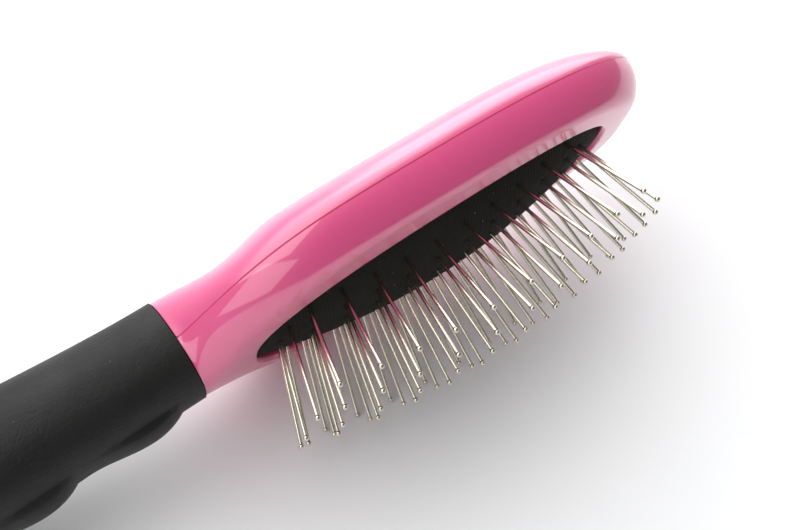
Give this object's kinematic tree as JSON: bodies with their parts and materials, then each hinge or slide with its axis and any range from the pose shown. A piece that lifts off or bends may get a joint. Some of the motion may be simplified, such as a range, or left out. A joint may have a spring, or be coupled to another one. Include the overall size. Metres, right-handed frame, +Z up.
{
  "type": "pet grooming pin brush",
  "caption": "Pet grooming brush: pink two-shell head with a domed black rubber cushion of ball-tipped steel pins and a black rubber finger grip.",
  "frame": {"origin": "bottom centre of the bounding box, on the table that the brush lies on", "axes": "+X along the brush from the grip to the head tip, +Z up from the table; the pins point towards -Y and a little down, because the brush lies on its side"},
  "size_m": [0.2284, 0.0552, 0.0679],
  "materials": {
    "pink_shell": "glossy moulded",
    "cushion_rubber": "matte, finely ribbed",
    "foam": "open-cell foam",
    "frame_plastic": "matte moulded",
    "screw_steel": "zinc plated",
    "grip_rubber": "matte soft-touch",
    "pin_steel": "bright nickel plate"
  },
  "bodies": {
    "root": {"back_shell": "pink_shell", "front_shell": "pink_shell", "cushion_pad": "cushion_rubber", "foam_core": "foam", "pad_frame": "frame_plastic", "frame_screws": "screw_steel", "grip": "grip_rubber", "pin_row_01": "pin_steel", "pin_row_02": "pin_steel", "pin_row_03": "pin_steel", "pin_row_04": "pin_steel", "pin_row_05": "pin_steel", "pin_row_06": "pin_steel", "pin_row_07": "pin_steel", "pin_row_08": "pin_steel", "pin_row_09": "pin_steel", "pin_row_10": "pin_steel", "pin_row_11": "pin_steel", "pin_row_12": "pin_steel"}
  },
  "joints": []
}
